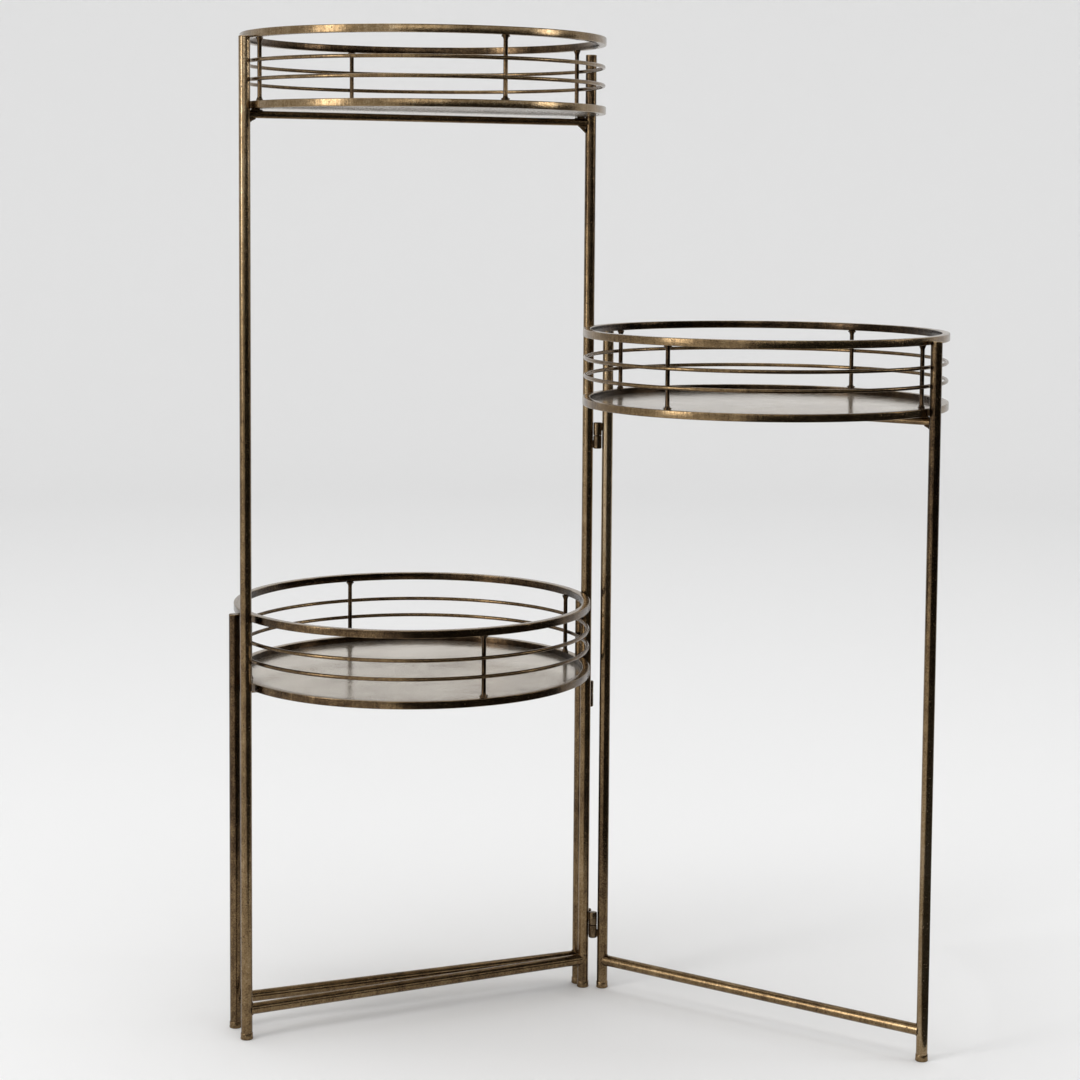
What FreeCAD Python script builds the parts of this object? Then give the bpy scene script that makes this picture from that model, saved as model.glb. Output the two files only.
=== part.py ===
"""Tiered plant stand: three welded steel frames of different heights, each with a round wire tray,
hinged to one common post so that the frames fan out and fold flat.

The origin is the centre of the common post's foot, on the floor. +X runs along the tall frame, away
from it past the common post, +Y runs to the side of the low frame, and +Z is up. Lengths are in mm.
"""
import FreeCAD, Part
import math
import os
import Sketcher

V = FreeCAD.Vector
UP = V(0, 0, 1)

# The driving dimensions: name, value.
DIMENSIONS = (
    # Trays
    ("tray_radius", 152.5),          # outside of both rings
    ("tray_height", 63.5),           # underside of the lower ring to the top of the upper ring
    ("ring_bar", 6.35),              # side of the rings' square bar
    ("wire_radius", 1.6),            # ring wires between the two rings
    ("wire_inset", 0.6),             # outside of the wires, in from the outside of the rings
    ("upper_wire_drop", 24.4),       # top of the tray down to the upper wire's middle
    ("lower_wire_drop", 39.6),       # top of the tray down to the lower wire's middle
    ("spindle_radius", 1.8),
    ("spindle_weld_radius", 3.0),    # foot of the weld cone at each end of a spindle
    ("spindle_weld_height", 3.2),
    ("sheet_thickness", 1.2),        # plate that closes the bottom of a tray
    ("sheet_gap", 0.1),              # between the plate's edge and the lower ring
    ("seam_gap", 0.05),              # between curved pieces that are welded side by side
    # Legs and rails
    ("leg_radius", 4.75),
    ("tube_wall", 1.2),
    ("cap_thickness", 1.2),
    ("cap_plug_depth", 6.0),
    ("cap_plug_gap", 0.05),          # between a cap's plug and the tube's bore
    ("cap_edge", 0.6),               # bevel round the top of a cap
    ("leg_drop", 3.0),               # top of the tray down to the top of a leg's cap
    ("tall_outer_drop", 5.0),        # the same at the tall frame's outer leg
    ("tall_post_drop", 9.8),         # the same at the common post, which ends below the upper ring
    ("foot_neck_wall", 0.35),        # how far the top of a foot stands out round the tube
    ("foot_flare", 0.2),             # how much wider a foot is at the floor than at its top
    ("foot_height", 5.5),
    ("foot_sole", 1.2),
    ("foot_gap", 0.05),              # between a foot's socket and its tube
    ("bottom_rail_level", 25.0),     # floor to the middle of the bottom rail
    ("bottom_weld_height", 0.5),     # how far the bottom rail's weld collar stands out in mid-leg
    ("tray_rail_radius", 3.0),
    ("tray_rail_gap", 1.5),          # between the tray rail and the underside of the tray
    ("tray_weld_height", 1.6),       # the same on the tray rail
    ("rail_weld_length", 3.5),       # how far a weld collar runs out from the leg along its rail
    ("ring_weld_reach", 5.5),        # how far a ring's weld runs out sideways from the leg
    # Heights of the three frames, floor to the top of the tray
    ("tall_tray_top", 834.5),
    ("middle_tray_top", 593.0),
    ("low_tray_top", 356.5),
    # Hinges
    ("fold_gap", 1.5),               # between neighbouring posts when the frames are folded flat
    ("knuckle_radius", 3.65),
    ("knuckle_height", 11.4),
    ("knuckle_gap", 0.3),            # between the two knuckles of a hinge
    ("knuckle_crown", 1.5),          # closed end of a knuckle's bore
    ("knuckle_stand_off", 0.3),      # between a knuckle's barrel and its post
    ("web_width", 3.4),              # weld web that joins a knuckle to its post
    ("pin_radius", 1.6),
    ("pin_fit", 0.05),               # radial clearance of the pin in both bores
    ("pin_end_play", 0.3),
    ("middle_upper_hinge", 494.5),   # floor to the middle of the hinge
    ("low_upper_hinge", 263.5),
    ("lower_hinges", 57.0),
    # How far the two swinging frames stand open, in degrees
    ("middle_open_angle", 118.8),
    ("low_open_angle", 3.6),
)

doc = FreeCAD.newDocument("tiered_plant_stand")
sheet = doc.addObject("Spreadsheet::Sheet", "Sizes")


class Size:
    """A number together with the expression on the sheet's cells that gives it."""

    def __init__(self, value, text):
        self.value = value
        self.text = text

    @staticmethod
    def of(other):
        return other if isinstance(other, Size) else Size(float(other), repr(float(other)))

    def __add__(self, other):
        other = Size.of(other)
        return Size(self.value + other.value, f"({self.text} + {other.text})")

    def __sub__(self, other):
        other = Size.of(other)
        return Size(self.value - other.value, f"({self.text} - {other.text})")

    def __mul__(self, factor):
        return Size(self.value * factor, f"({self.text} * {factor!r})")

    def __neg__(self):
        return Size(-self.value, f"(0 - {self.text})")


def fill_sheet():
    """Write the driving dimensions to the sheet and return them by name."""
    sizes = {}
    for row, (name, value) in enumerate(DIMENSIONS, start=1):
        sheet.set(f"A{row}", name)
        sheet.set(f"B{row}", str(value))
        sheet.setAlias(f"B{row}", name)
        sizes[name] = Size(float(value), f"{sheet.Name}.{name}")
    doc.recompute()
    return sizes


S = fill_sheet()
ZERO = Size.of(0.0)

# Sizes that follow from the driving ones.
LEG_OFFSET = S["tray_radius"] + S["seam_gap"] + S["leg_radius"]      # tray's middle to a leg
POST_PITCH = (S["leg_radius"] * 2.0 + S["fold_gap"]).value           # post to post, folded
BARREL_REACH = S["leg_radius"] + S["knuckle_stand_off"] + S["knuckle_radius"]
BARREL_OUT = math.sqrt(BARREL_REACH.value ** 2 - (POST_PITCH / 2.0) ** 2)
RING_INSIDE = S["tray_radius"] - S["ring_bar"]
WIRE_RING = S["tray_radius"] - S["wire_inset"] - S["wire_radius"]
SPINDLE_RING = WIRE_RING - S["wire_radius"] - S["spindle_radius"] - S["seam_gap"]
TUBE_BORE = S["leg_radius"] - S["tube_wall"]
FOOT_NECK = S["leg_radius"] + S["foot_neck_wall"]
FOOT_RADIUS = FOOT_NECK + S["foot_flare"]

nodes = []


# ---- small helpers -------------------------------------------------------------------------------

def add(kind, name, place=None, **sizes):
    """Make a primitive whose sizes are bound to the sheet."""
    piece = doc.addObject(kind, name)
    for key, size in sizes.items():
        piece.setExpression(key, Size.of(size).text)
    if place is not None:
        piece.Placement = place
    return piece


def at(x=0.0, y=0.0, z=0.0, axis=UP, angle=0.0):
    """Give a placement from plain numbers or sizes."""
    spot = V(*(Size.of(value).value for value in (x, y, z)))
    return FreeCAD.Placement(spot, FreeCAD.Rotation(axis, angle))


def cut(name, base, tool):
    piece = doc.addObject("Part::Cut", name)
    piece.Base = base
    piece.Tool = tool
    return piece


def fuse(name, *pieces):
    piece = doc.addObject("Part::MultiFuse", name)
    piece.Shapes = list(pieces)
    piece.Refine = True
    return piece


def group(name, pieces):
    """Put separate identical solids in one node."""
    piece = doc.addObject("Part::Compound", name)
    piece.Links = list(pieces)
    return piece


def plane(body, role):
    return next(item for item in body.Origin.OriginFeatures if item.Role == role)


def profile_sketch(body, role, corners):
    """Draw a closed outline whose corners, pairs of sizes, are bound to the sheet."""
    sketch = body.newObject("Sketcher::SketchObject", f"{body.Name}_profile")
    sketch.AttachmentSupport = [(plane(body, role), "")]
    sketch.MapMode = "FlatFace"
    corners = [(Size.of(x), Size.of(y)) for x, y in corners]
    count = len(corners)
    for index in range(count):
        start = corners[index]
        end = corners[(index + 1) % count]
        line = Part.LineSegment(V(start[0].value, start[1].value, 0), V(end[0].value, end[1].value, 0))
        sketch.addGeometry(line, False)
    for index in range(count):
        sketch.addConstraint(Sketcher.Constraint("Coincident", index, 2, (index + 1) % count, 1))
    for index, (x, y) in enumerate(corners):
        for kind, size in (("DistanceX", x), ("DistanceY", y)):
            number = sketch.addConstraint(Sketcher.Constraint(kind, -1, 1, index, 1, size.value))
            name = f"{kind}_{index}"
            sketch.renameConstraint(number, name)
            sketch.setExpression(f"Constraints.{name}", size.text)
    return sketch


def turned_body(name, corners):
    """Turn an outline, given as (radius, height) corners, about its own Z axis."""
    body = doc.addObject("PartDesign::Body", name)
    sketch = profile_sketch(body, "XZ_Plane", corners)
    turned = body.newObject("PartDesign::Revolution", f"{name}_turned")
    turned.Profile = sketch
    turned.ReferenceAxis = (sketch, ["V_Axis"])
    turned.Angle = 360.0
    sketch.Visibility = False
    return body


def keep(piece, label, frame):
    """Make a piece a node of the stand, set where its frame stands."""
    piece.Label = label
    piece.Placement = frame.multiply(piece.Placement)
    nodes.append(piece)


# ---- pieces of one frame, drawn with its hinged post at the origin --------------------------------

def leg_tube(name, x, cap_top):
    """Round tube from the foot's sole up to the underside of its cap."""
    length = cap_top - S["cap_thickness"] - S["foot_sole"]
    place = at(x, 0.0, S["foot_sole"])
    outside = add("Part::Cylinder", f"{name}_outside", place, Radius=S["leg_radius"], Height=length)
    bore = add("Part::Cylinder", f"{name}_bore", place, Radius=TUBE_BORE, Height=length)
    return cut(name, outside, bore)


def leg_cap(name, x, cap_top):
    """Round cap with a bevelled edge and a plug that fills the tube's mouth."""
    body = turned_body(name, (
        (ZERO, -S["cap_plug_depth"]),
        (TUBE_BORE - S["cap_plug_gap"], -S["cap_plug_depth"]),
        (TUBE_BORE - S["cap_plug_gap"], ZERO),
        (S["leg_radius"], ZERO),
        (S["leg_radius"], S["cap_thickness"] - S["cap_edge"]),
        (S["leg_radius"] - S["cap_edge"], S["cap_thickness"]),
        (ZERO, S["cap_thickness"]),
    ))
    body.Placement = at(x, 0.0, cap_top - S["cap_thickness"])
    return body


def foot_ferrule(name, x):
    """Flared socket that closes the tube's lower end; the tube stands on its sole."""
    socket = S["leg_radius"] + S["foot_gap"]
    body = turned_body(name, (
        (ZERO, ZERO),
        (FOOT_RADIUS, ZERO),
        (FOOT_NECK, S["foot_height"]),
        (socket, S["foot_height"]),
        (socket, S["foot_sole"]),
        (ZERO, S["foot_sole"]),
    ))
    body.Placement = at(x, 0.0, 0.0)
    return body


def rail(name, span, level, radius, weld_height, bore=None):
    """Rod or tube between the legs' middles, with a weld collar at each end, coped to fit round them."""
    along = at(-span, 0.0, level, V(0, 1, 0), 90)
    pieces = [add("Part::Cylinder", f"{name}_stock", along, Radius=radius, Height=span)]
    posts = []
    for side, x, turn in (("far", -span, 90), ("near", ZERO, -90)):
        collar_end = at(x, 0.0, level, V(0, 1, 0), turn)
        pieces.append(add("Part::Cone", f"{name}_{side}_collar", collar_end, Radius1=radius + weld_height,
                          Radius2=radius, Height=S["leg_radius"] + S["rail_weld_length"]))
        reach = (radius + weld_height) * 2.0
        posts.append(add("Part::Cylinder", f"{name}_{side}_post", at(x, 0.0, level - reach),
                         Radius=S["leg_radius"], Height=reach * 2.0))
    if bore is not None:
        posts.append(add("Part::Cylinder", f"{name}_bore", along, Radius=bore, Height=span))
    return cut(name, fuse(f"{name}_body", *pieces), fuse(f"{name}_tools", *posts))


def ring(name, tray_x, level):
    """Square bar bent to a ring."""
    body = turned_body(name, (
        (RING_INSIDE, ZERO),
        (S["tray_radius"], ZERO),
        (S["tray_radius"], S["ring_bar"]),
        (RING_INSIDE, S["ring_bar"]),
    ))
    body.Placement = at(tray_x, 0.0, level)
    return body


WIRE_SIDES = 8


def ring_wire(name, tray_x, level):
    """Wire bent to a ring that lies against the outside of the spindles."""
    section = add("Part::RegularPolygon", f"{name}_section", at(WIRE_RING, 0, 0, V(1, 0, 0), 90),
                  Circumradius=S["wire_radius"])
    section.Polygon = WIRE_SIDES
    wire = doc.addObject("Part::Revolution", name)
    wire.Source = section
    wire.Axis = UP
    wire.Angle = 360.0
    wire.Solid = True
    wire.Placement = at(tray_x, 0.0, level)
    return wire


SPINDLE_COUNT = 4


def spindle(name, tray_x, floor, bearing):
    """Round rod between the rings, with a weld cone at each end."""
    length = S["tray_height"] - S["ring_bar"] * 2.0
    body = turned_body(name, (
        (ZERO, ZERO),
        (S["spindle_weld_radius"], ZERO),
        (S["spindle_radius"], S["spindle_weld_height"]),
        (S["spindle_radius"], length - S["spindle_weld_height"]),
        (S["spindle_weld_radius"], length),
        (ZERO, length),
    ))
    turn = math.radians(bearing)
    x = tray_x + SPINDLE_RING * math.cos(turn)
    y = SPINDLE_RING * math.sin(turn)
    body.Placement = at(x, y, floor + S["ring_bar"])
    return body


def tray_sheet(name, tray_x, floor):
    """Round plate flush with the underside of the lower ring."""
    place = at(tray_x, 0.0, floor)
    return add("Part::Cylinder", name, place, Radius=RING_INSIDE - S["sheet_gap"], Height=S["sheet_thickness"])


def ring_weld(name, tray_x, level, height, leg_x, side):
    """Weld that fills the groove between a ring and a leg, on one side of the line where they meet."""
    deep = S["leg_radius"]
    reach = S["ring_weld_reach"]
    inward = 1.0 if leg_x.value < tray_x.value else -1.0
    block = add("Part::Box", f"{name}_block", Length=deep, Width=reach, Height=height)
    contact = leg_x + S["leg_radius"] * inward
    low_x = contact - deep * 0.5
    block.Placement = at(low_x, ZERO if side > 0 else -reach, level)
    round_ring = add("Part::Cylinder", f"{name}_ring", at(tray_x, 0.0, level),
                     Radius=S["tray_radius"], Height=S["ring_bar"])
    round_leg = add("Part::Cylinder", f"{name}_leg", at(leg_x, 0.0, level),
                    Radius=S["leg_radius"], Height=S["ring_bar"])
    return cut(name, block, fuse(f"{name}_tools", round_ring, round_leg))


def build_frame(key, top, frame, first_bearing, drops):
    """Build all the pieces of one frame and keep them as its nodes.

    drops gives how far the caps of the hinged post and the outer leg lie below the top of the tray.
    """
    span = LEG_OFFSET * 2.0
    tray_x = -LEG_OFFSET
    floor = top - S["tray_height"]
    legs = (("hinge_post", ZERO, drops[0]), ("outer_leg", -span, drops[1]))
    tray_rail_level = floor - S["tray_rail_gap"] - S["tray_rail_radius"]
    rails = (
        ("bottom_rail", S["bottom_rail_level"], S["leg_radius"], S["bottom_weld_height"], TUBE_BORE),
        ("tray_rail", tray_rail_level, S["tray_rail_radius"], S["tray_weld_height"], None),
    )
    for part, x, drop in legs:
        keep(leg_tube(f"{key}_{part}", x, top - drop), f"{key}_{part}", frame)
    keep(group(f"{key}_leg_caps", [leg_cap(f"{key}_{part}_cap", x, top - drop) for part, x, drop in legs]),
         f"{key}_leg_caps", frame)
    keep(group(f"{key}_feet", [foot_ferrule(f"{key}_{part}_foot", x) for part, x, drop in legs]),
         f"{key}_feet", frame)
    for part, level, radius, weld_height, bore in rails:
        keep(rail(f"{key}_{part}", span, level, radius, weld_height, bore), f"{key}_{part}", frame)
    rings = (("lower_ring", floor), ("upper_ring", top - S["ring_bar"]))
    welds = []
    for part, level in rings:
        keep(ring(f"{key}_{part}", tray_x, level), f"{key}_{part}", frame)
        for leg, x, drop in legs:
            height = S["ring_bar"] - drop if part == "upper_ring" else S["ring_bar"]
            if height.value > 0.0:
                welds += [
                    ring_weld(f"{key}_{part}_{leg}_weld_{index}", tray_x, level, height, x, side)
                    for index, side in enumerate((1, -1))
                ]
    keep(group(f"{key}_ring_welds", welds), f"{key}_ring_welds", frame)
    for part, drop in (("upper_wire", S["upper_wire_drop"]), ("lower_wire", S["lower_wire_drop"])):
        keep(ring_wire(f"{key}_{part}", tray_x, top - drop), f"{key}_{part}", frame)
    bearings = [first_bearing + index * 360.0 / SPINDLE_COUNT for index in range(SPINDLE_COUNT)]
    spindles = [
        spindle(f"{key}_spindle_{index}", tray_x, floor, bearing) for index, bearing in enumerate(bearings)
    ]
    keep(group(f"{key}_spindles", spindles), f"{key}_spindles", frame)
    keep(tray_sheet(f"{key}_tray_sheet", tray_x, floor), f"{key}_tray_sheet", frame)


# ---- hinges --------------------------------------------------------------------------------------

def knuckle(name, level, upper, barrel, post):
    """Half of a barrel hinge with a blind bore, joined to its post by a weld web."""
    height = S["knuckle_height"]
    half_gap = S["knuckle_gap"] * 0.5
    low = level + half_gap if upper else level - half_gap - height
    place = at(barrel.x, barrel.y, low)
    barrel_solid = add("Part::Cylinder", f"{name}_barrel", place, Radius=S["knuckle_radius"], Height=height)
    bore_height = height - S["knuckle_crown"]
    bore_low = low if upper else low + S["knuckle_crown"]
    bore = add("Part::Cylinder", f"{name}_bore", at(barrel.x, barrel.y, bore_low),
               Radius=S["pin_radius"] + S["pin_fit"], Height=bore_height)
    web = add("Part::Box", f"{name}_web", Length=BARREL_REACH, Width=S["web_width"], Height=height)
    towards = math.degrees(math.atan2(post.y - barrel.y, post.x - barrel.x))
    web.Placement = place.multiply(at(0, 0, 0, UP, towards)).multiply(at(0, S["web_width"] * -0.5, 0))
    post_solid = add("Part::Cylinder", f"{name}_post", at(post.x, post.y, low),
                     Radius=S["leg_radius"], Height=height)
    return cut(name, fuse(f"{name}_body", barrel_solid, web), fuse(f"{name}_tools", bore, post_solid))


def hinge_pin(name, level, barrel):
    """Plain pin that fills both blind bores but for its end play."""
    half = S["knuckle_height"] - S["knuckle_crown"] + S["knuckle_gap"] * 0.5 - S["pin_end_play"]
    return add("Part::Cylinder", name, at(barrel.x, barrel.y, level - half),
               Radius=S["pin_radius"], Height=half * 2.0)


def build_hinge(key, level, side, swinging, upper_swings):
    """Build one hinge between the tall frame's post and the post of a swinging frame.

    side is -1 where the swinging frame lies in front of the tall one, and 1 where it lies behind it.
    upper_swings says that the upper knuckle is welded to the swinging frame. The pin stays in the
    lower knuckle.
    """
    still = FreeCAD.Placement()
    barrel = V(BARREL_OUT, side * POST_PITCH / 2.0, 0)
    own_post = V(0, 0, 0)
    other_post = V(0, side * POST_PITCH, 0)
    for part, upper in (("upper_knuckle", True), ("lower_knuckle", False)):
        swings = upper == upper_swings
        piece = knuckle(f"{key}_{part}", level, upper, barrel, other_post if swings else own_post)
        keep(piece, f"{key}_{part}", swinging if swings else still)
    keep(hinge_pin(f"{key}_pin", level, barrel), f"{key}_pin", still if upper_swings else swinging)


def swing(side, angle):
    """Placement that turns a folded frame open about its hinge axis."""
    axis_at = V(BARREL_OUT, side * POST_PITCH / 2.0, 0)
    return FreeCAD.Placement(V(0, 0, 0), FreeCAD.Rotation(UP, angle), axis_at)


# ---- the stand -----------------------------------------------------------------------------------

# Bearing of the first spindle in each frame, from +X of the folded frame.
TALL_BEARING = 2.5
MIDDLE_BEARING = -1.5
LOW_BEARING = 3.5


def build_stand():
    """Build the three frames and the four hinges."""
    folded_front = at(0.0, -POST_PITCH, 0.0)
    folded_back = at(0.0, POST_PITCH, 0.0)
    middle_swing = swing(-1, S["middle_open_angle"].value)
    low_swing = swing(1, -S["low_open_angle"].value)
    tall_drops = (S["tall_post_drop"], S["tall_outer_drop"])
    drops = (S["leg_drop"], S["leg_drop"])
    build_frame("tall", S["tall_tray_top"], FreeCAD.Placement(), TALL_BEARING, tall_drops)
    build_frame("middle", S["middle_tray_top"], middle_swing.multiply(folded_front), MIDDLE_BEARING, drops)
    build_frame("low", S["low_tray_top"], low_swing.multiply(folded_back), LOW_BEARING, drops)
    build_hinge("middle_upper_hinge", S["middle_upper_hinge"], -1, middle_swing, True)
    build_hinge("middle_lower_hinge", S["lower_hinges"], -1, middle_swing, False)
    build_hinge("low_upper_hinge", S["low_upper_hinge"], 1, low_swing, True)
    build_hinge("low_lower_hinge", S["lower_hinges"], 1, low_swing, False)


def check_document():
    """Stop if any object failed to build or any node's shape isn't sound."""
    for item in doc.Objects:
        if "Invalid" in item.State or "Error" in item.State:
            raise RuntimeError(f"{item.Label} did not build: {item.State}")
    for node in nodes:
        if node.Shape.isNull() or not node.Shape.isValid() or not node.Shape.Solids:
            raise RuntimeError(f"{node.Label} has no sound solid")


def write_nodes():
    os.makedirs("parts", exist_ok=True)
    for node in nodes:
        node.Shape.exportStep(os.path.join("parts", f"{node.Label}.step"))
        print(f"{node.Label}: {len(node.Shape.Solids)} solids, {node.Shape.Volume:.1f} mm3")


build_stand()
doc.recompute()
check_document()
write_nodes()
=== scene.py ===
"""Tiered plant stand: three hinged frames with round wire trays, in aged brass on a pale studio floor.

Each welded frame is built in its own place, read from the frame's legs: its X axis runs from the
tray's middle towards the hinged post, Y to the left of that, and Z up from the floor.
"""
import logging
import math
from dataclasses import dataclass
from enum import Enum
from typing import Sequence

import bmesh
import bpy
from mathutils import Matrix, Vector, noise


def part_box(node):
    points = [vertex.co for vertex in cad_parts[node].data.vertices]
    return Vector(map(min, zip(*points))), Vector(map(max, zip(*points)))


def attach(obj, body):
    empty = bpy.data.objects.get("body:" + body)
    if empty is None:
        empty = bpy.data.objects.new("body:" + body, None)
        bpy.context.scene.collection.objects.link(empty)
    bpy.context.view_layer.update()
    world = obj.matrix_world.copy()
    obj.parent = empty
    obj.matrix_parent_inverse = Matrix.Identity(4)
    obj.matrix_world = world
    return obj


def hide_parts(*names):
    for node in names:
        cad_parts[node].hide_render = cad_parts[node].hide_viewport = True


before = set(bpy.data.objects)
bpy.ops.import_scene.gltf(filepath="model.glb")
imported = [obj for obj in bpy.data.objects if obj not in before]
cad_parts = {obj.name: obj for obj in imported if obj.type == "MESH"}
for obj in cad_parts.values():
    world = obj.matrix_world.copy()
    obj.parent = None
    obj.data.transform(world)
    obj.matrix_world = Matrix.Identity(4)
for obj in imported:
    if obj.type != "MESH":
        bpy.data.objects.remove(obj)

log = logging.getLogger("plant_stand")

MM = 0.001
UP = Vector((0.0, 0.0, 1.0))
FULL_TURN = 2.0 * math.pi
Colour = tuple[float, float, float]
Profile = Sequence[tuple[float, float]]


class Slot(Enum):
    """Material slots of the record."""

    AGED_BRONZE = "aged_bronze"
    TRAY_PLATE = "tray_plate"
    HINGE_STEEL = "hinge_steel"


def shares(steps: int) -> list[float]:
    """Give evenly spaced shares of a way, from 0 to 1."""
    return [step / steps for step in range(steps + 1)]


def level_way(turn: float) -> Vector:
    """Give the level direction at an angle in radians from the X axis."""
    return Vector((math.cos(turn), math.sin(turn), 0.0))


# ---- mesh building -------------------------------------------------------------------------------


class MeshForm:
    """Points and faces of one mesh, gathered before it becomes an object."""

    def __init__(self, shade: float = 0.0) -> None:
        """Start with an empty mesh.

        Args:
            shade: How golden its points are, from -1 for dark to 1, where nothing else is given.
        """
        self.shade = shade
        self.points: list[Vector] = []
        self.wear: list[float] = []
        self.tone: list[float] = []
        self.faces: list[tuple[int, ...]] = []

    def add_rows(self, rows: Sequence[Sequence[Vector]], wear: Sequence[float], around: bool, along: bool,
                 tone: Sequence[float] | None = None) -> None:
        """Join rows of points into a skin of quads.

        Args:
            rows: Rows of equally many points.
            wear: How rubbed each place of a row is, from 0 to 1.
            around: Whether the last row joins the first one.
            along: Whether the last point of a row joins its first one.
            tone: How golden each place of a row is, where it isn't the form's shade.
        """
        base = len(self.points)
        width = len(rows[0])
        for row in rows:
            self.points.extend(row)
            self.wear.extend(wear)
            self.tone.extend(tone or [self.shade] * width)
        for row in range(len(rows) if around else len(rows) - 1):
            following = (row + 1) % len(rows)
            for spot in range(width if along else width - 1):
                beside = (spot + 1) % width
                self.faces.append((
                    base + row * width + spot, base + following * width + spot,
                    base + following * width + beside, base + row * width + beside,
                ))

    def turn(self, profile: Profile, place: Matrix, steps: int, closed: bool = False,
             wear: Sequence[float] | None = None, tone: Sequence[float] | None = None) -> None:
        """Turn a profile of (radius, height) points about the Z axis of a place.

        Args:
            profile: The outline, drawn upwards where it is open and anticlockwise where it is closed.
            place: Where the axis stands.
            steps: Steps in the full turn.
            closed: Whether the outline closes on itself.
            wear: How rubbed each point of the outline is, from 0 to 1.
            tone: How golden each point of the outline is, from -1 for dark to 1.
        """
        rows = []
        for step in range(steps):
            way = level_way(FULL_TURN * step / steps)
            rows.append([place @ (way * radius + UP * height) for radius, height in profile])
        self.add_rows(rows, wear or [0.0] * len(profile), True, closed, tone)

    def sweep(self, path: Sequence[Vector], radii: Sequence[float], sides: int, closed: bool = False) -> None:
        """Sweep a circle along a path.

        Args:
            path: Points of the path.
            radii: Radius of the circle at each point.
            sides: Points round the circle.
            closed: Whether the path closes on itself.
        """
        count = len(path)
        rows = []
        side = None
        for index, point in enumerate(path):
            before = path[index - 1] if closed or index else point
            after = path[(index + 1) % count] if closed or index < count - 1 else point
            ahead = (after - before).normalized()
            if side is None:
                side = ahead.orthogonal().normalized()
            side = (side - ahead * side.dot(ahead)).normalized()
            other = ahead.cross(side)
            rows.append([
                point + (side * math.cos(turn) + other * math.sin(turn)) * radii[index]
                for turn in (FULL_TURN * spot / sides for spot in range(sides))
            ])
        self.add_rows(rows, [0.5] * sides, closed, True)

    def ball(self, place: Matrix, radius: float, squash: float, sides: int) -> None:
        """Add a squat ball of weld metal.

        Args:
            place: Where its middle lies.
            radius: Its radius across.
            squash: Its height as a share of its width.
            sides: Points round it.
        """
        turns = [math.pi * share for share in shares(8)]
        profile = [(math.sin(turn) * radius, -math.cos(turn) * radius * squash) for turn in turns]
        self.turn(profile, place, sides, wear=[0.5] * len(profile))

    def as_object(self, name: str, smooth_angle: float = 40.0) -> bpy.types.Object:
        """Make the object.

        Args:
            name: The object's name.
            smooth_angle: Largest angle in degrees between two faces that are shaded as one surface.

        Returns:
            The object, in the scene.
        """
        mesh = bpy.data.meshes.new(name)
        mesh.from_pydata([tuple(point) for point in self.points], [], self.faces)
        for label, given in (("rubbed", self.wear), ("tone", self.tone)):
            mesh.attributes.new(label, "FLOAT", "POINT").data.foreach_set("value", given)
        work = bmesh.new()
        work.from_mesh(mesh)
        bmesh.ops.remove_doubles(work, verts=work.verts, dist=0.001 * MM)
        bmesh.ops.recalc_face_normals(work, faces=work.faces)
        for edge in work.edges:
            edge.smooth = not edge.is_manifold or edge.calc_face_angle(0.0) < math.radians(smooth_angle)
        for face in work.faces:
            face.smooth = True
        work.to_mesh(mesh)
        work.free()
        made = bpy.data.objects.new(name, mesh)
        bpy.context.scene.collection.objects.link(made)
        return made


def rounded(corners: Profile, radius: float, steps: int = 3) -> tuple[list[tuple[float, float]], list[float]]:
    """Round the corners of a closed outline.

    Args:
        corners: The outline's corners.
        radius: Distance from a corner to where its rounding starts.
        steps: Points in each rounding, less one.

    Returns:
        The rounded outline, and how rubbed each of its points is.
    """
    outline, wear = [], []
    count = len(corners)
    for index in range(count):
        here = Vector(corners[index])
        before = (Vector(corners[index - 1]) - here).normalized()
        after = (Vector(corners[(index + 1) % count]) - here).normalized()
        start, end = here + before * radius, here + after * radius
        for t in shares(steps):
            spot = start * (1 - t) ** 2 + here * 2 * t * (1 - t) + end * t ** 2
            outline.append(tuple(spot))
            wear.append(math.sin(math.pi * t) * 0.5 + 0.5)
    return outline, wear


# ---- shader building -----------------------------------------------------------------------------


class Value:
    """One socket of a node tree, with arithmetic that adds Math nodes."""

    def __init__(self, nodes: "Nodes", socket: bpy.types.NodeSocket) -> None:
        """Keep the socket and the tree that it belongs to."""
        self.nodes = nodes
        self.socket = socket

    def math(self, operation: str, *inputs: "Value | float") -> "Value":
        """Add a Math node on these inputs."""
        return self.nodes.node("ShaderNodeMath", {"operation": operation}, dict(enumerate(inputs)))

    def __add__(self, other: "Value | float") -> "Value":
        """Add."""
        return self.math("ADD", self, other)

    __radd__ = __add__

    def __sub__(self, other: "Value | float") -> "Value":
        """Subtract."""
        return self.math("SUBTRACT", self, other)

    def __rsub__(self, other: float) -> "Value":
        """Subtract from a number."""
        return self.math("SUBTRACT", other, self)

    def __mul__(self, other: "Value | float") -> "Value":
        """Multiply."""
        return self.math("MULTIPLY", self, other)

    __rmul__ = __mul__

    def larger(self, other: "Value | float") -> "Value":
        """Give the larger of the two."""
        return self.math("MAXIMUM", self, other)

    def band(self, low: float, high: float) -> "Value":
        """Go smoothly from 0 at low to 1 at high."""
        return self.nodes.node("ShaderNodeMapRange", {"interpolation_type": "SMOOTHSTEP"},
                               {"Value": self, "From Min": low, "From Max": high})


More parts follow.
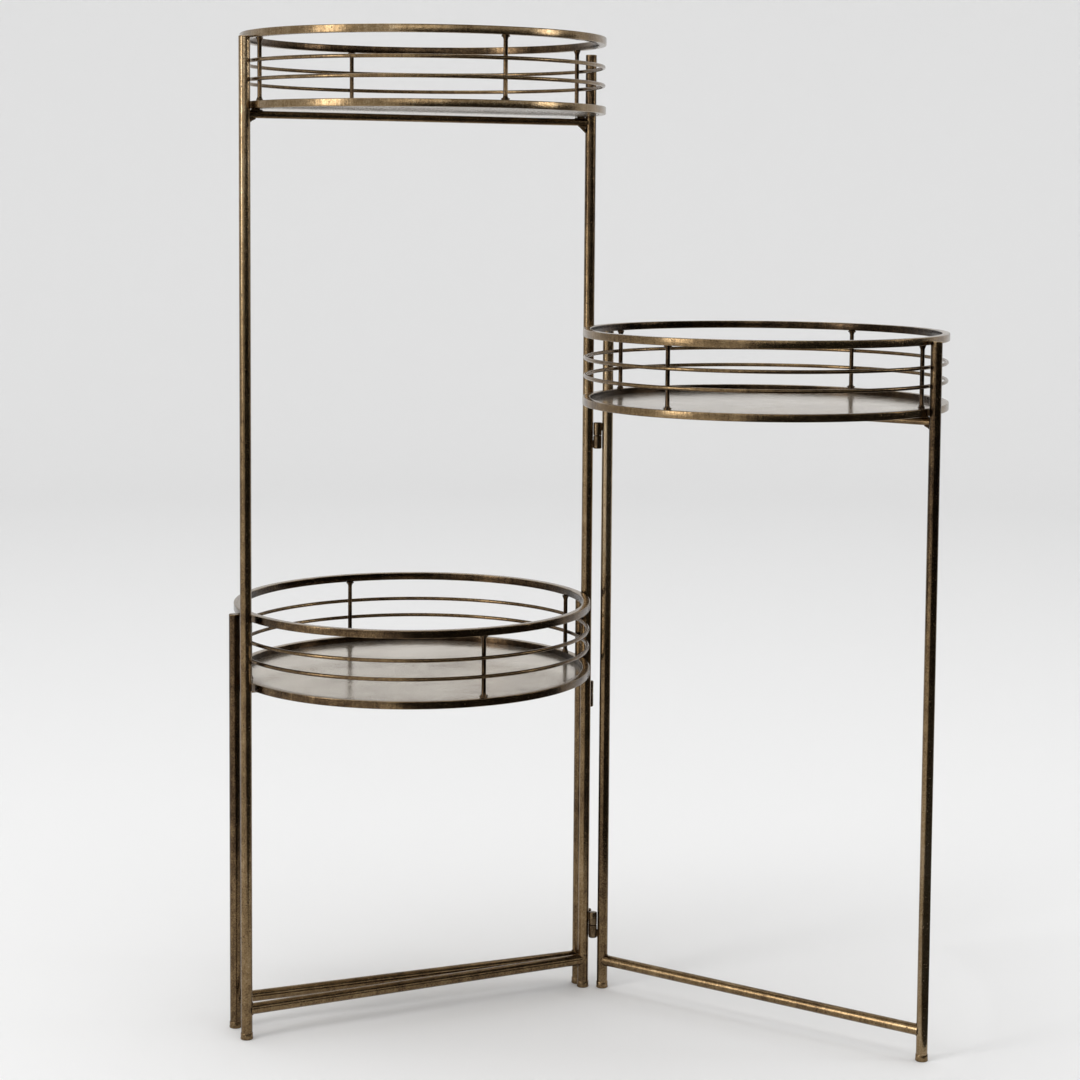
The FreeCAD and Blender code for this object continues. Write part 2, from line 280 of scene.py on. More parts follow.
class Nodes:
    """A node tree and the one method that adds nodes to it."""

    def __init__(self, tree: bpy.types.NodeTree) -> None:
        """Keep the tree."""
        self.tree = tree

    def node(self, kind: str, settings: dict[str, object], inputs: dict[object, object],
             output: object = 0) -> Value:
        """Add any node.

        Args:
            kind: The node's type.
            settings: Properties of the node, set first. Stops of a ramp go under "stops".
            inputs: Numbers, vectors or values by the socket's name or number.
            output: Name or number of the socket to return.

        Returns:
            The chosen output.
        """
        made = self.tree.nodes.new(kind)
        for key, setting in settings.items():
            if key == "stops":
                self.set_stops(made.color_ramp, setting)
            else:
                setattr(made, key, setting)
        for key, given in inputs.items():
            if isinstance(given, Value):
                self.tree.links.new(given.socket, made.inputs[key])
            else:
                made.inputs[key].default_value = given
        return Value(self, made.outputs[output])

    @staticmethod
    def set_stops(ramp: bpy.types.ColorRamp, stops: Sequence[tuple[float, Colour]]) -> None:
        """Give a ramp its stops.

        Args:
            ramp: The ramp.
            stops: Position and colour of each stop.
        """
        while len(ramp.elements) < len(stops):
            ramp.elements.new(1.0)
        for element, (position, colour) in zip(ramp.elements, stops):
            element.position = position
            element.color = (*colour, 1.0)


class Recipe(Nodes):
    """The node tree of one material, which holds one Principled shader."""

    def __init__(self, name: str) -> None:
        """Start a material.

        Args:
            name: The material's name.
        """
        self.material = bpy.data.materials.new(name)
        self.material.use_nodes = True
        super().__init__(self.material.node_tree)
        self.tree.nodes.clear()
        self.shader = self.tree.nodes.new("ShaderNodeBsdfPrincipled")
        out = self.tree.nodes.new("ShaderNodeOutputMaterial")
        self.tree.links.new(self.shader.outputs[0], out.inputs["Surface"])

    def place(self) -> Value:
        """Give the object's own coordinates."""
        return self.node("ShaderNodeTexCoord", {}, {}, "Object")

    def attribute(self, name: str) -> Value:
        """Give a mesh attribute that holds one number a point."""
        return self.node("ShaderNodeAttribute", {"attribute_name": name}, {}, "Fac")

    def stretched(self, scale: tuple[float, float, float]) -> Value:
        """Give the object's coordinates times a scale on each axis."""
        return self.node("ShaderNodeVectorMath", {"operation": "MULTIPLY"}, {0: self.place(), 1: scale})

    def noise(self, scale: float, detail: float, roughness: float,
              where: Value | None = None) -> Value:
        """Give a cloudy pattern.

        Args:
            scale: How fine it is.
            detail: How many finer layers it has.
            roughness: How strong the finer layers are.
            where: Coordinates, where they aren't the object's own.

        Returns:
            The pattern, from 0 to 1.
        """
        inputs = {"Vector": where or self.place(), "Scale": scale, "Detail": detail, "Roughness": roughness}
        return self.node("ShaderNodeTexNoise", {}, inputs)

    def ramp(self, level: Value, *stops: tuple[float, Colour]) -> Value:
        """Give the colour that stops on a ramp have at a level."""
        return self.node("ShaderNodeValToRGB", {"stops": stops}, {0: level})

    def blend(self, share: Value | float, first: Value | Colour, second: Value | Colour) -> Value:
        """Mix two colours.

        Args:
            share: Share of the second colour.
            first: The first colour.
            second: The second colour.

        Returns:
            The mixed colour.
        """
        inputs = {"Factor": share}
        for number, colour in ((6, first), (7, second)):
            inputs[number] = colour if isinstance(colour, Value) else (*colour, 1.0)
        return self.node("ShaderNodeMix", {"data_type": "RGBA"}, inputs, 2)

    def set(self, **inputs: object) -> None:
        """Link or set sockets of the shader.

        Args:
            inputs: What each socket gets, by its name with _ for a space.
        """
        for key, given in inputs.items():
            socket = self.shader.inputs[key.replace("_", " ")]
            if isinstance(given, Value):
                self.tree.links.new(given.socket, socket)
            else:
                is_colour = isinstance(given, tuple) and len(given) == 3
                socket.default_value = (*given, 1.0) if is_colour else given

    def bump(self, height: Value, depth: float, strength: float) -> None:
        """Bump the surface.

        Args:
            height: Height of the surface, from 0 to 1.
            depth: Metres from height 0 to height 1.
            strength: How strongly the bumps turn the surface.
        """
        inputs = {"Strength": strength, "Distance": depth, "Height": height}
        self.set(Normal=self.node("ShaderNodeBump", {}, inputs, "Normal"))


@dataclass(frozen=True)
class AgedBrass:
    """Brass plating gone brown: rubbed golden on edges and crests, dark in its pits."""

    name: str
    gold: Colour = (0.222, 0.150, 0.076)
    brown: Colour = (0.085, 0.054, 0.029)
    umber: Colour = (0.020, 0.013, 0.008)
    pale: Colour = (0.40, 0.31, 0.20)
    mottle_scale: float = 75.0
    shift: float = 0.0
    base_level: float = -0.22
    blotch_share: float = 0.34
    drift_share: float = 0.30
    run_share: float = 0.24
    grain_share: float = 0.60
    tone_share: float = 0.22
    rub: float = 0.6
    pitting: float = 0.75
    roughness: float = 0.14
    depth: float = 0.35 * MM

    def build(self) -> bpy.types.Material:
        """Make the material.

        Returns:
            The material.
        """
        recipe = Recipe(self.name)
        blotches = recipe.noise(self.mottle_scale, 6.0, 0.62)
        drifts = recipe.noise(9.0, 3.0, 0.5)
        grain = recipe.noise(760.0, 4.0, 0.75)
        runs = recipe.noise(1.0, 4.0, 0.6, recipe.stretched((420.0, 420.0, 26.0)))
        # The tone attribute brings in each piece's level, which is part patina and part painted highlight,
        # shade and reflection.
        level = (
            blotches * self.blotch_share + drifts * self.drift_share + runs * self.run_share
            + grain * self.grain_share + recipe.attribute("tone") * self.tone_share
            + (self.base_level + self.shift)
        )
        stops = ((0.26, self.umber), (0.42, self.brown), (0.58, self.gold), (0.80, self.pale))
        colour = recipe.ramp(level, *stops)
        rubbed = (recipe.attribute("rubbed") - 0.55).band(0.0, 0.45)
        edge = rubbed * (blotches + grain * 0.5).band(0.55, 0.95)
        colour = recipe.blend(edge * self.rub, colour, self.pale)
        pits = recipe.noise(520.0, 2.0, 0.5).band(0.66, 0.74)
        colour = recipe.blend(pits * self.pitting, colour, self.umber)
        roughness = self.roughness + grain * 0.16 + pits * 0.2 - blotches * 0.08
        recipe.set(Base_Color=colour, Metallic=1.0 - pits * 0.35, Roughness=roughness)
        recipe.bump(grain * 0.5 + runs * 0.5 + blotches * 0.8 - pits * 0.4, self.depth, 0.4)
        return recipe.material


@dataclass(frozen=True)
class WeldScale(AgedBrass):
    """The same plating over weld metal, darker and lumpier."""

    mottle_scale: float = 260.0
    shift: float = -0.12
    roughness: float = 0.46


@dataclass(frozen=True)
class SatinPlate:
    """Pale satin plate with cloudy stains and faint streaks, and painted shade that darkens it along its rim,
    where it meets the ring.
    """

    name: str
    centre: tuple[float, float, float]
    radius: float
    light: Colour = (0.67, 0.605, 0.51)
    warm: Colour = (0.49, 0.425, 0.345)
    stain_and_rim_shade: Colour = (0.20, 0.165, 0.13)
    rim_shade_width: float = 12.0 * MM
    rim_shade_fade: float = 4.0 * MM
    rim_shade_share: float = 0.6
    metallic: float = 0.72
    roughness: float = 0.03
    depth: float = 1.2 * MM

    def build(self) -> bpy.types.Material:
        """Make the material.

        Returns:
            The material.
        """
        recipe = Recipe(self.name)
        clouds = recipe.noise(16.0, 5.0, 0.6)
        spots = recipe.noise(60.0, 6.0, 0.68)
        streaks = recipe.noise(1.0, 4.0, 0.6, recipe.stretched((18.0, 190.0, 18.0)))
        grain = recipe.noise(900.0, 2.0, 0.6)
        out = recipe.node("ShaderNodeVectorMath", {"operation": "DISTANCE"},
                          {0: recipe.place(), 1: self.centre}, "Value")
        # Painted shade: the plate darkens towards its rim, where it meets the ring.
        rim = (out + spots * self.rim_shade_width).band(self.radius - self.rim_shade_width, self.radius + self.rim_shade_fade)
        level = clouds * 0.6 + spots * 0.5 + streaks * 0.25 + grain * 0.12
        colour = recipe.ramp(level, (0.50, self.stain_and_rim_shade), (0.64, self.warm), (0.82, self.light))
        colour = recipe.blend(rim * self.rim_shade_share, colour, self.stain_and_rim_shade)
        roughness = self.roughness + spots * 0.2 + grain * 0.04
        recipe.set(Base_Color=colour, Metallic=self.metallic, Roughness=roughness)
        recipe.bump(clouds * 0.9 + spots * 0.35 + grain * 0.05, self.depth, 0.25)
        return recipe.material


# ---- the stand -----------------------------------------------------------------------------------


@dataclass(frozen=True)
class Look:
    """How light or dark one frame's pieces are, from -1 for dark to 1, and where its first spindle stands.
    Part patina and part painted light: the rings' upper faces carry a painted highlight and their inner faces
    painted shade, and the levels that differ from frame to frame and along each leg are part painted
    reflection and shade.
    """

    key: str
    bearing: float                    # degrees from the hinged post to the first spindle
    outside: float                    # the rings' outer faces, part patina and part painted reflection
    inside: float                     # the rings' inner faces, darkened as painted shade
    wire: float
    spindle: float
    post: tuple[float, ...]           # evenly spaced from the foot to the top
    outer_leg: tuple[float, ...]
    top: float = 0.35                 # the rings' upper faces, lightened as a painted highlight


LOOKS = (
    Look("tall", 2.5, 0.35, -0.5, 0.15, -0.5,
         post=(-0.1, 0.35, -0.2, 0.0, 0.2, 0.0, -0.5, -0.4),
         outer_leg=(-0.1, 0.1, 0.1, 0.0, 0.0, 0.1, 0.6, 0.5)),
    Look("middle", -1.5, 0.1, -1.0, 0.0, -0.8,
         post=(0.1, -0.3, -0.4, -0.2, 0.1, 0.8, 0.7, 0.2),
         outer_leg=(0.2, 0.4, 0.7, 0.1, -0.1, -0.5, -0.6, -0.3)),
    Look("low", 3.5, -0.45, -1.0, -0.2, -0.9,
         post=(0.0, -0.1, -0.2, -0.2, -0.3),
         outer_leg=(-0.2, -0.4, -0.5, -0.5, -0.6)),
)


@dataclass(frozen=True)
class Stance:
    """Where one welded frame stands, read from its two legs."""

    key: str
    cap_thickness: float = 1.2 * MM

    def middle_of(self, part: str) -> Vector:
        """Give the middle of a node of this frame, on the floor."""
        low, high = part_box(f"{self.key}_{part}")
        return Vector(((low.x + high.x) / 2, (low.y + high.y) / 2, 0.0))

    @property
    def body(self) -> str:
        """Name of the CAD body that the frame's pieces ride on."""
        return f"{self.key}_frame"

    @property
    def half_span(self) -> float:
        """Distance from the tray's middle to each leg's middle."""
        return (self.middle_of("hinge_post") - self.middle_of("outer_leg")).length / 2

    @property
    def place(self) -> Matrix:
        """Matrix from the frame's own axes to the stand's."""
        post, outer = self.middle_of("hinge_post"), self.middle_of("outer_leg")
        across = (post - outer).normalized()
        turn = Matrix((across, UP.cross(across), UP)).transposed().to_4x4()
        return Matrix.Translation((post + outer) / 2) @ turn

    def levels(self, part: str) -> tuple[float, float]:
        """Give the lowest and highest level of a node of this frame."""
        low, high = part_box(f"{self.key}_{part}")
        return low.z, high.z

    def mid_level(self, part: str) -> float:
        """Give the level midway up a node of this frame."""
        return sum(self.levels(part)) / 2

    def cap_top(self, part: str) -> float:
        """Give the level of the top of a leg's cap."""
        return self.levels(part)[1] + self.cap_thickness


def fit_piece(piece: bpy.types.Object, material: bpy.types.Material, slot: Slot, body: str,
              *nodes: str) -> bpy.types.Object:
    """Dress a piece and fix it to its body.

    Args:
        piece: The piece, in its place.
        material: Its finish.
        slot: The record's slot that the finish stands for; not used.
        body: The CAD body that it moves with.
        nodes: CAD nodes that it stands for.

    Returns:
        The piece.
    """
    piece.data.materials.append(material)
    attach(piece, body)
    if nodes:
        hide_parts(*nodes)
    log.info("built %s on %s", piece.name, body)
    return piece


@dataclass
class FrameWork:
    """What the tubing and the tray of one frame share: their place, their finishes and their look."""

    stance: Stance
    look: Look
    brass: bpy.types.Material
    weld: bpy.types.Material

    def fit(self, form: MeshForm, name: str, node: str = "", material: bpy.types.Material | None = None,
            slot: Slot = Slot.AGED_BRONZE) -> bpy.types.Object:
        """Make a piece, dress it and put it on the frame's body.

        Args:
            form: Its mesh.
            name: Its name within the frame.
            node: Name within the frame of the CAD node that it stands for, if it stands for one.
            material: Its finish, where it isn't the brass.
            slot: The record's slot that the finish stands for.

        Returns:
            The piece.
        """
        piece = form.as_object(f"{self.stance.key}_{name}_piece")
        nodes = [f"{self.stance.key}_{node}"] if node else []
        return fit_piece(piece, material or self.brass, slot, self.stance.body, *nodes)


@dataclass(frozen=True)
class Lump:
    """A lump of weld metal at a tray rail's end, in mm."""

    inward: float                     # in from the leg
    above: float                      # above the rail's middle
    size: float


@dataclass
class Tubing(FrameWork):
    """Legs, caps, feet and the two rails of one frame."""

    leg_radius: float = 4.75 * MM
    leg_waver: float = 0.06 * MM
    leg_rows: int = 60
    foot_radius: float = 5.3 * MM
    foot_wall: float = 0.35 * MM
    bottom_rail_radius: float = 4.75 * MM
    tray_rail_radius: float = 3.0 * MM
    rail_rows: int = 24
    cap_edge: float = 0.6 * MM
    bead: float = 1.3 * MM
    bead_turns: int = 72
    bead_ripples: float = 11.0
    corner_reach: float = 7.5 * MM    # of the slanting bead, along the rail
    corner_fall: float = 6.5 * MM     # of the same, down the post
    outer_corner: float = 0.6         # its size at the outer leg, as a share of that at the post
    steps: int = 40
    legs: tuple[tuple[str, int], ...] = (("hinge_post", 1), ("outer_leg", -1))
    lumps: tuple[Lump, ...] = (
        Lump(2.2, 3.6, 1.5), Lump(4.4, 3.9, 1.9), Lump(7.0, 3.7, 1.7), Lump(9.6, 3.3, 1.2),
        Lump(1.6, -3.6, 1.9), Lump(3.4, -3.3, 1.4),
    )

    def build(self) -> list[bpy.types.Object]:
        """Build every piece of the tubing.

        Returns:
            The pieces.
        """
        made = [self.leg(part, side) for part, side in self.legs]
        made += [self.caps(), self.feet()]
        for part, radius in (("bottom_rail", self.bottom_rail_radius), ("tray_rail", self.tray_rail_radius)):
            made += [self.rail(part, radius), self.beads(part, radius)]
        return made

    def upright(self, side: int) -> Matrix:
        """Give the place of a leg's axis, where side is 1 for the post and -1 for the outer leg."""
        return self.stance.place @ Matrix.Translation((side * self.stance.half_span, 0.0, 0.0))

    def leg(self, part: str, side: int) -> bpy.types.Object:
        """Build one leg tube, divided along its length so that its surface can waver.

        Args:
            part: The leg's name within the frame.
            side: 1 for the post and -1 for the outer leg.

        Returns:
            The leg.
        """
        low, high = self.stance.levels(part)
        # The levels along the leg are part patina and part painted reflection and shade.
        stops = self.look.post if side > 0 else self.look.outer_leg
        profile, tone = [], []
        for share in shares(self.leg_rows):
            height = low + (high - low) * share
            dent = 0.5 + 0.5 * noise.noise(Vector((side * 7.0, len(part), height * 60.0)))
            profile.append((self.leg_radius - self.leg_waver * dent, height))
            tone.append(self.between(stops, share))
        form = MeshForm()
        form.turn(profile, self.upright(side), self.steps, wear=[0.4] * len(profile), tone=tone)
        return self.fit(form, part, part)

    @staticmethod
    def between(stops: Sequence[float], share: float) -> float:
        """Give the level between evenly spaced stops.

        Args:
            stops: The levels at the stops.
            share: Share of the way from the first stop to the last.

        Returns:
            The level there.
        """
        spot = share * (len(stops) - 1)
        index = min(int(spot), len(stops) - 2)
        return stops[index] + (stops[index + 1] - stops[index]) * (spot - index)

    def caps(self) -> bpy.types.Object:
        """Build the two caps, with soft edges and a slight crown.

        Returns:
            The caps, as one piece.
        """
        form = MeshForm()
        radius, edge = self.leg_radius, self.cap_edge
        hair = 0.02 * MM
        wear = [0.6] * 2 + [1.0] * 4 + [0.7] * 2
        for part, side in self.legs:
            rim = self.stance.levels(part)[1]
            high = self.stance.cap_top(part)
            profile = [(radius - hair, rim), (radius, rim + edge * 0.4)]
            profile += [
                (radius - edge + edge * math.cos(turn), high - edge * 1.1 + edge * math.sin(turn))
                for turn in (math.radians(angle) for angle in (0, 30, 60, 85))
            ]
            profile += [(radius * 0.5, high - hair), (0.0, high)]
            form.turn(profile, self.upright(side), self.steps, wear=wear)
        return self.fit(form, "leg_caps", "leg_caps")

    def feet(self) -> bpy.types.Object:
        """Build the two feet: flared sockets with rolled rims.

        Returns:
            The feet, as one piece.
        """
        low, high = self.stance.levels("feet")
        neck = self.leg_radius + self.foot_wall
        profile = [
            (0.0, low), (self.foot_radius - 0.5 * MM, low), (self.foot_radius, low + 0.5 * MM),
            (self.foot_radius, low + 1.2 * MM), (neck, low + 2.2 * MM), (neck, high - 0.4 * MM),
            (neck - 0.2 * MM, high), (self.leg_radius - 0.3 * MM, high),
        ]
        form = MeshForm()
        for _, side in self.legs:
            form.turn(profile, self.upright(side), self.steps, wear=[0.3] * len(profile))
        return self.fit(form, "feet", "feet")

    def rail(self, part: str, radius: float) -> bpy.types.Object:
        """Build a rail from leg to leg.

        Args:
            part: The rail's name within the frame.
            radius: Its radius.

        Returns:
            The rail.
        """
        reach = self.stance.half_span - self.leg_radius * 0.6
        level = self.stance.mid_level(part)
        path = [Vector((reach * (2 * share - 1), 0.0, level)) for share in shares(self.rail_rows)]
        form = MeshForm()
        form.sweep([self.stance.place @ point for point in path], [radius] * len(path), self.steps)
        return self.fit(form, part, part)

    def beads(self, part: str, radius: float) -> bpy.types.Object:
        """Build the weld beads round both ends of a rail, along the line where it meets the leg.

        Args:
            part: The rail's name within the frame.
            radius: Its radius.

        Returns:
            The beads, as one piece.
        """
        form = MeshForm()
        level = self.stance.mid_level(part)
        for _, side in self.legs:
            path, radii = [], []
            for step in range(self.bead_turns):
                angle = FULL_TURN * step / self.bead_turns
                sideways = radius * math.sin(angle)
                out = math.sqrt(max(self.leg_radius ** 2 - sideways ** 2, 0.0))
                path.append(self.stance.place @ Vector((
                    side * (self.stance.half_span - out), sideways * 0.9, level + radius * math.cos(angle))))
                lump = noise.noise(Vector((angle * 2.2, side * 3.0, radius * 900.0)))
                fullness = 0.62 + 0.22 * lump + 0.08 * math.sin(angle * self.bead_ripples)
                radii.append(self.bead * fullness * (1.0 - 0.45 * abs(math.sin(angle))))
            form.sweep(path, radii, 12, True)
            if part == "tray_rail":
                self.corner(form, side, radius)
        return self.fit(form, f"{part}_beads", material=self.weld)

    def corner(self, form: MeshForm, side: int, radius: float) -> None:
        """Add the slanting bead under a tray rail's end, and the lumps that tie the rail to the tray above.

        Args:
            form: The mesh that they join.
            side: 1 for the end at the post and -1 for the one at the outer leg.
            radius: The rail's radius.
        """
        level = self.stance.mid_level("tray_rail")
        inner = self.stance.half_span - self.leg_radius

        def spot(inward: float, above: float) -> Vector:
            """Give a point that lies so far in from the leg and above the rail's middle."""
            return self.stance.place @ Vector((side * (inner - inward), 0.0, level + above))

        share = 1.0 if side > 0 else self.outer_corner
        reach, fall = self.corner_reach * share, self.corner_fall * share
        path, radii = [], []
        for t in shares(12):
            swell = math.sin(math.pi * t)
            sag = swell * 0.22
            path.append(spot(reach * (t - sag * t), -radius * 0.7 - fall * (1.0 - t) * (1.0 - sag)))
            radii.append((0.9 + 0.9 * swell) * share * MM)
        form.sweep(path, radii, 14)
        for number, lump in enumerate(self.lumps):
            uneven = 1.0 + 0.2 * noise.noise(Vector((number * 3.7, side * 2.0, level * 40.0)))
            middle = spot(lump.inward * MM, lump.above * MM)
            form.ball(Matrix.Translation(middle), lump.size * uneven * MM, 0.7, 14)


@dataclass(frozen=True)
class Tack:
    """A kind of tack weld at a spindle, on both of its sides."""

    size: float
    out: float                        # out from the spindle's axis
    aside: float                      # to each side of it
    squash: float


@dataclass
class Tray(FrameWork):
    """Round gallery tray: two bar rings, two wires, four spindles and a floor plate."""

    radius: float = 152.5 * MM
    bar: float = 6.35 * MM
    bar_edge: float = 0.7 * MM
    wire_radius: float = 1.6 * MM
    wire_inset: float = 0.6 * MM
    spindle_radius: float = 1.8 * MM
    spindle_ring: float = 146.85 * MM
    spindle_weld: float = 3.0 * MM
    spindle_count: int = 4
    wire_tack: Tack = Tack(1.15 * MM, 1.2 * MM, 1.5 * MM, 0.8)
    end_tack: Tack = Tack(1.7 * MM, 0.0, 2.0 * MM, 0.5)
    end_tack_lift: float = 0.9 * MM
    groove_bead: float = 1.35 * MM
    groove_out: float = 0.35 * MM     # from the outside of the rings out to a groove bead's middle
    groove_aside: float = 3.4 * MM    # from the middle of a leg aside to it
    groove_rows: int = 16
    sheet_gap: float = 0.1 * MM
    sheet_edge: float = 0.25 * MM
    sheet_dish: float = 0.12 * MM
    sheet_rings: int = 28
    steps: int = 240

    def build(self) -> list[bpy.types.Object]:
        """Build every piece of the tray.

        Returns:
            The pieces.
        """
        made = [self.ring(part) for part in ("upper_ring", "lower_ring")]
        made += [self.wire(part) for part in ("upper_wire", "lower_wire")]
        made += [self.spindles(), self.tacks(), self.ring_beads(), self.plate()]
        return made

    def ring(self, part: str) -> bpy.types.Object:
        """Build a ring of square bar with softened edges.

        Args:
            part: The ring's name within the frame.

        Returns:
            The ring.
        """
        low, high = self.stance.levels(part)
        inside = self.radius - self.bar
        corners = ((inside, low), (self.radius, low), (self.radius, high), (inside, high))
        outline, wear = rounded(corners, self.bar_edge)
        margin = self.bar_edge * 0.2
        # Painted light: the inner faces get a darker tone as painted shade, the upper faces a lighter one as
        # a painted highlight.
        tone = []
        for out, height in outline:
            if out < inside + margin:
                tone.append(self.look.inside)
            else:
                tone.append(self.look.top if height > high - margin else self.look.outside)
        form = MeshForm()
        form.turn(outline, self.stance.place, self.steps, True, wear, tone)
        return self.fit(form, part, part)

    def wire(self, part: str) -> bpy.types.Object:
        """Build a ring of round wire.

        Args:
            part: The wire's name within the frame.

        Returns:
            The wire.
        """
        level = self.stance.mid_level(part)
        ring = self.radius - self.wire_inset - self.wire_radius
        path = [
            self.stance.place @ (level_way(FULL_TURN * step / self.steps) * ring + UP * level)
            for step in range(self.steps)
        ]
        form = MeshForm(self.look.wire)
        form.sweep(path, [self.wire_radius] * self.steps, 16, True)
        return self.fit(form, part, part)

    def spindle_turn(self, index: int) -> float:
        """Give the angle in radians from the hinged post to a spindle."""
        return math.radians(self.look.bearing + 360.0 * index / self.spindle_count)

    def spindle_place(self, index: int, level: float) -> Matrix:
        """Give the place of a spindle's axis at a level."""
        spot = level_way(self.spindle_turn(index)) * self.spindle_ring + UP * level
        return self.stance.place @ Matrix.Translation(spot)

    def spindles(self) -> bpy.types.Object:
        """Build the spindles with the weld metal at both ends.

        Returns:
            The spindles, as one piece.
        """
        low, high = self.stance.levels("spindles")
        thick, weld = self.spindle_radius, self.spindle_weld
        profile = [
            (0.0, low), (weld, low), (weld * 0.93, low + 0.8 * MM), (thick * 1.15, low + 2.4 * MM),
            (thick, low + 3.4 * MM), (thick, (low + high) / 2), (thick, high - 3.6 * MM),
            (thick * 1.2, high - 2.4 * MM), (weld * 0.95, high - 0.9 * MM), (weld, high), (0.0, high),
        ]
        form = MeshForm(self.look.spindle)
        for index in range(self.spindle_count):
            form.turn(profile, self.spindle_place(index, 0.0), 24, wear=[0.3] * len(profile))
        return self.fit(form, "spindles", "spindles")

    def tacks(self) -> bpy.types.Object:
        """Build the spots of weld metal that hold the wires and the spindles' ends.

        Returns:
            The tack welds, as one piece.
        """
        form = MeshForm()
        low, high = self.stance.levels("spindles")
        kinds = [(self.stance.mid_level(part), self.wire_tack) for part in ("upper_wire", "lower_wire")]
        kinds += [(low + self.end_tack_lift, self.end_tack), (high - self.end_tack_lift, self.end_tack)]
        for index in range(self.spindle_count):
            facing = Matrix.Rotation(self.spindle_turn(index), 4, "Z")
            for number, (level, tack) in enumerate(kinds):
                for side in (-1, 1):
                    lump = noise.noise(Vector((index * 3.1, number * 5.3, side * 2.7)))
                    offset = Matrix.Translation((tack.out, side * tack.aside, 0.0))
                    place = self.spindle_place(index, level) @ facing @ offset
                    form.ball(place, tack.size * (1.0 + 0.3 * lump), tack.squash, 12)
        return self.fit(form, "tack_welds", material=self.weld)

    def ring_beads(self) -> bpy.types.Object:
        """Build the upright beads in the grooves between both rings and both legs.

        Where a leg ends below a ring, that ring has no bead there.

        Returns:
            The beads, as one piece.
        """
        form = MeshForm()
        for part in ("upper_ring", "lower_ring"):
            low, ring_top = self.stance.levels(part)
            for side, leg in ((-1, "outer_leg"), (1, "hinge_post")):
                high = min(ring_top, self.stance.cap_top(leg))
                if high < low + 0.5 * MM:
                    continue
                for flank in (-1, 1):
                    self.groove(form, low, high, side, flank)
        return self.fit(form, "ring_beads", "ring_welds", self.weld)

    def groove(self, form: MeshForm, low: float, high: float, side: int, flank: int) -> None:
        """Add one upright bead between a ring and a leg.

        Args:
            form: The mesh that it joins.
            low: Level where the groove starts.
            high: Level where it ends.
            side: 1 at the post and -1 at the outer leg.
            flank: Side of the leg that it lies on, 1 or -1.
        """
        out = side * (self.radius + self.groove_out)
        path, radii = [], []
        for t in shares(self.groove_rows):
            height = low + (high - low) * (0.05 + 0.9 * t)
            path.append(self.stance.place @ Vector((out, flank * self.groove_aside, height)))
            lump = noise.noise(Vector((t * 4.0, side * 2.0 + flank, low * 50.0)))
            ends = math.sqrt(max(1.0 - (2 * t - 1) ** 2, 0.0)) * 0.35 + 0.65
            radii.append(self.groove_bead * (1.0 + 0.3 * lump) * ends)
        radii[0] = radii[-1] = 0.02 * MM
        form.sweep(path, radii, 12)

    def plate(self) -> bpy.types.Object:
        """Build the floor plate, which dishes by a hair between its middle and its edge.

        Returns:
            The plate.
        """
        low, high = self.stance.levels("tray_sheet")
        edge = self.radius - self.bar - self.sheet_gap
        profile = [(0.0, low), (edge, low), (edge, high - self.sheet_edge)]
        for share in shares(self.sheet_rings):
            out = edge * (1.0 - share) - (0.1 * MM if share < 1.0 else 0.0)
            profile.append((out, high - self.sheet_dish * math.sin(math.pi * share)))
        form = MeshForm()
        form.turn(profile, self.stance.place, self.steps)
        centre = self.stance.place @ (UP * high)
        finish = SatinPlate(f"satin_plate_{self.stance.key}", tuple(centre), edge)
        return self.fit(form, "tray_sheet", "tray_sheet", finish.build(), Slot.TRAY_PLATE)


@dataclass(frozen=True)
class BarrelHinge:
    """One hinge between the tall frame and a swinging one."""

    name: str
    swinging: str                     # the swinging frame's key
    upper_swings: bool                # whether the upper knuckle is on the swinging frame


